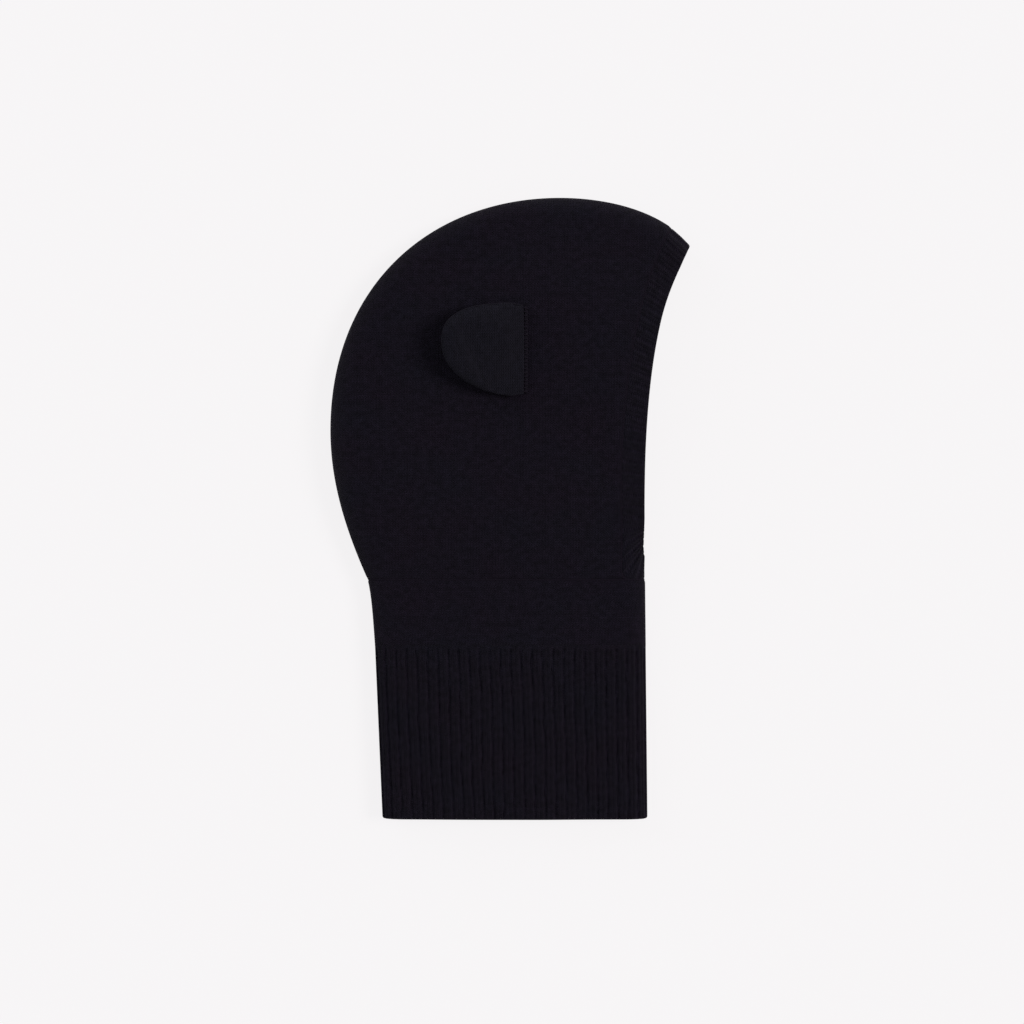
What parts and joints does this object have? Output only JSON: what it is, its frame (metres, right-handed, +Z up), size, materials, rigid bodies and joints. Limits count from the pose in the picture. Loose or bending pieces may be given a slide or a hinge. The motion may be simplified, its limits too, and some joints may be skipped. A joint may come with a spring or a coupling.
{
  "type": "knitted balaclava with padded ears",
  "caption": "Pull-on knitted head covering with an open face, a ribbed neck cuff and padded fold-back ears, shown laid flat on one side.",
  "frame": {"origin": "centre of the bounding box in plan, on the surface the balaclava lies on", "axes": "+X out of the face opening, +Y from the neck to the crown, +Z up from the surface, towards the wearer's right side"},
  "size_m": [0.2192, 0.3799, 0.0404],
  "materials": {
    "hood_knit": "matte fine plain knit, very dark blue-black",
    "rib_knit": "matte ribbed knit, very dark blue-black",
    "ear_knit": "matte dense plain knit, very dark blue-black",
    "seam_thread": "matte linking thread",
    "wadding": "loose polyester fill",
    "label_satin": "blank woven satin label"
  },
  "bodies": {
    "balaclava": {"hood_right": "hood_knit", "hood_left": "hood_knit", "crown_seam": "seam_thread", "face_trim": "rib_knit", "trim_seam": "seam_thread", "neck_band": "hood_knit", "neck_seam": "seam_thread", "neck_cuff": "rib_knit", "care_label": "label_satin", "label_stitch": "seam_thread", "ear_right_base_seam": "seam_thread", "ear_left_base_seam": "seam_thread"},
    "ear_right": {"ear_right_outer": "ear_knit", "ear_right_inner": "ear_knit", "ear_right_wadding": "wadding", "ear_right_rim_seam": "seam_thread"},
    "ear_left": {"ear_left_outer": "ear_knit", "ear_left_inner": "ear_knit", "ear_left_wadding": "wadding", "ear_left_rim_seam": "seam_thread"}
  },
  "joints": [
    {"name": "ear_right_fold", "type": "hinge", "parent": "balaclava", "child": "ear_right", "pos_m": [0.00924, 0.09652, 0.0289], "axis": [0, 1, 0], "range_deg": [0, 150], "stiffness_Nm_per_rad": 0.01},
    {"name": "ear_left_fold", "type": "hinge", "parent": "balaclava", "child": "ear_left", "pos_m": [0.00924, 0.09652, 0.0026], "axis": [0, -1, 0], "range_deg": [0, 150], "stiffness_Nm_per_rad": 0.01}
  ]
}
